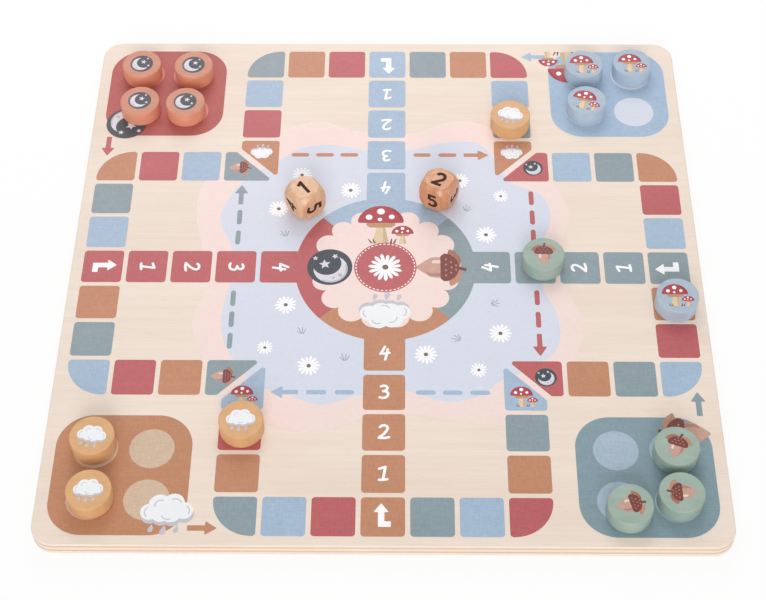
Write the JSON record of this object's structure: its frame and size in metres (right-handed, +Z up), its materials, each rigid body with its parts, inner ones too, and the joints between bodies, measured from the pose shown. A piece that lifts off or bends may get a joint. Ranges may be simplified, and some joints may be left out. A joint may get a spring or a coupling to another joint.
{
  "type": "wooden ludo board game",
  "caption": "Flat square wooden ludo board with rounded corners, laid out with round painted tokens and rounded dice on its printed track.",
  "frame": {"origin": "middle of the board's underside, on the table", "axes": "+Z up from the printed face, +X to the right and +Y to the back as the picture shows the board; the track's first square of the brown player is at -Y"},
  "size_m": [0.3, 0.3, 0.0235],
  "materials": {
    "face_veneer": "sanded pale birch veneer with a thin clear coat; the upper one is printed",
    "core_veneer": "birch veneer, seen only at the edge",
    "crossband_veneer": "birch veneer across the grain, end grain at the front and back edges",
    "orange_paint": "satin water-based paint on wood, printed on top",
    "blue_paint": "satin water-based paint on wood, printed on top",
    "yellow_paint": "satin water-based paint on wood, printed on top",
    "green_paint": "satin water-based paint on wood, printed on top",
    "pale_beech": "tumbled beech under clear lacquer, digits burnt in",
    "warm_beech": "tumbled beech under clear lacquer, digits burnt in"
  },
  "bodies": {
    "board": {"back_ply": "face_veneer", "lower_crossband": "crossband_veneer", "core_ply": "core_veneer", "upper_crossband": "crossband_veneer", "face_ply": "face_veneer"},
    "orange_token_1": {"orange_token_1": "orange_paint"},
    "orange_token_2": {"orange_token_2": "orange_paint"},
    "orange_token_3": {"orange_token_3": "orange_paint"},
    "orange_token_4": {"orange_token_4": "orange_paint"},
    "blue_token_1": {"blue_token_1": "blue_paint"},
    "blue_token_2": {"blue_token_2": "blue_paint"},
    "blue_token_3": {"blue_token_3": "blue_paint"},
    "blue_token_4": {"blue_token_4": "blue_paint"},
    "yellow_token_1": {"yellow_token_1": "yellow_paint"},
    "yellow_token_2": {"yellow_token_2": "yellow_paint"},
    "yellow_token_3": {"yellow_token_3": "yellow_paint"},
    "yellow_token_4": {"yellow_token_4": "yellow_paint"},
    "green_token_1": {"green_token_1": "green_paint"},
    "green_token_2": {"green_token_2": "green_paint"},
    "green_token_3": {"green_token_3": "green_paint"},
    "green_token_4": {"green_token_4": "green_paint"},
    "die_1": {"die_1": "pale_beech"},
    "die_2": {"die_2": "warm_beech"}
  },
  "joints": [
    {"name": "orange_token_1_lift", "type": "slide", "parent": "board", "child": "orange_token_1", "axis": [0, 0, 1], "range_m": [0, 0.03]},
    {"name": "orange_token_2_lift", "type": "slide", "parent": "board", "child": "orange_token_2", "axis": [0, 0, 1], "range_m": [0, 0.03]},
    {"name": "orange_token_3_lift", "type": "slide", "parent": "board", "child": "orange_token_3", "axis": [0, 0, 1], "range_m": [0, 0.03]},
    {"name": "orange_token_4_lift", "type": "slide", "parent": "board", "child": "orange_token_4", "axis": [0, 0, 1], "range_m": [0, 0.03]},
    {"name": "blue_token_1_lift", "type": "slide", "parent": "board", "child": "blue_token_1", "axis": [0, 0, 1], "range_m": [0, 0.03]},
    {"name": "blue_token_2_lift", "type": "slide", "parent": "board", "child": "blue_token_2", "axis": [0, 0, 1], "range_m": [0, 0.03]},
    {"name": "blue_token_3_lift", "type": "slide", "parent": "board", "child": "blue_token_3", "axis": [0, 0, 1], "range_m": [0, 0.03]},
    {"name": "blue_token_4_lift", "type": "slide", "parent": "board", "child": "blue_token_4", "axis": [0, 0, 1], "range_m": [0, 0.03]},
    {"name": "yellow_token_1_lift", "type": "slide", "parent": "board", "child": "yellow_token_1", "axis": [0, 0, 1], "range_m": [0, 0.03]},
    {"name": "yellow_token_2_lift", "type": "slide", "parent": "board", "child": "yellow_token_2", "axis": [0, 0, 1], "range_m": [0, 0.03]},
    {"name": "yellow_token_3_lift", "type": "slide", "parent": "board", "child": "yellow_token_3", "axis": [0, 0, 1], "range_m": [0, 0.03]},
    {"name": "yellow_token_4_lift", "type": "slide", "parent": "board", "child": "yellow_token_4", "axis": [0, 0, 1], "range_m": [0, 0.03]},
    {"name": "green_token_1_lift", "type": "slide", "parent": "board", "child": "green_token_1", "axis": [0, 0, 1], "range_m": [0, 0.03]},
    {"name": "green_token_2_lift", "type": "slide", "parent": "board", "child": "green_token_2", "axis": [0, 0, 1], "range_m": [0, 0.03]},
    {"name": "green_token_3_lift", "type": "slide", "parent": "board", "child": "green_token_3", "axis": [0, 0, 1], "range_m": [0, 0.03]},
    {"name": "green_token_4_lift", "type": "slide", "parent": "board", "child": "green_token_4", "axis": [0, 0, 1], "range_m": [0, 0.03]},
    {"name": "die_1_roll", "type": "hinge", "parent": "board", "child": "die_1", "pos_m": [-0.03283, 0.04035, 0.0075], "axis": [-0.5878, 0.809, 0], "range_deg": [0, 90]},
    {"name": "die_2_roll", "type": "hinge", "parent": "board", "child": "die_2", "pos_m": [0.02951, 0.04814, 0.0075], "axis": [-0.8988, 0.4384, 0], "range_deg": [0, 90]}
  ]
}
